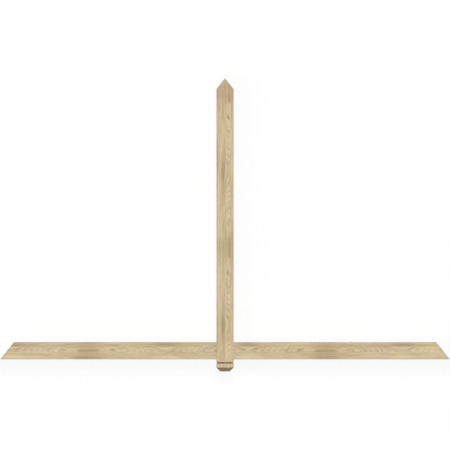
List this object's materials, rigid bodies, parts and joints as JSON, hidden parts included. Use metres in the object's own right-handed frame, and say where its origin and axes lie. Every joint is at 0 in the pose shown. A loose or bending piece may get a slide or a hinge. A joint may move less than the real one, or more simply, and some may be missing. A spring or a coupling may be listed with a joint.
{
  "type": "timber gable bracket",
  "caption": "Open timber gable bracket: a pointed king post with a moulded drop stands through a level chord whose ends are cut to a steep roof.",
  "frame": {"origin": "on the back face of the post, on its centreline, level with the underside of the arms", "axes": "+X along the arms to the right, +Y up the post to its point, +Z from the backs to the faces; the bracket lies on its back, face up"},
  "size_m": [3.6576, 2.385, 0.1397],
  "materials": {
    "planed_softwood": "planed, unfinished, matt"
  },
  "bodies": {
    "root": {"king_post": "planed_softwood", "left_arm": "planed_softwood", "right_arm": "planed_softwood"}
  },
  "joints": []
}
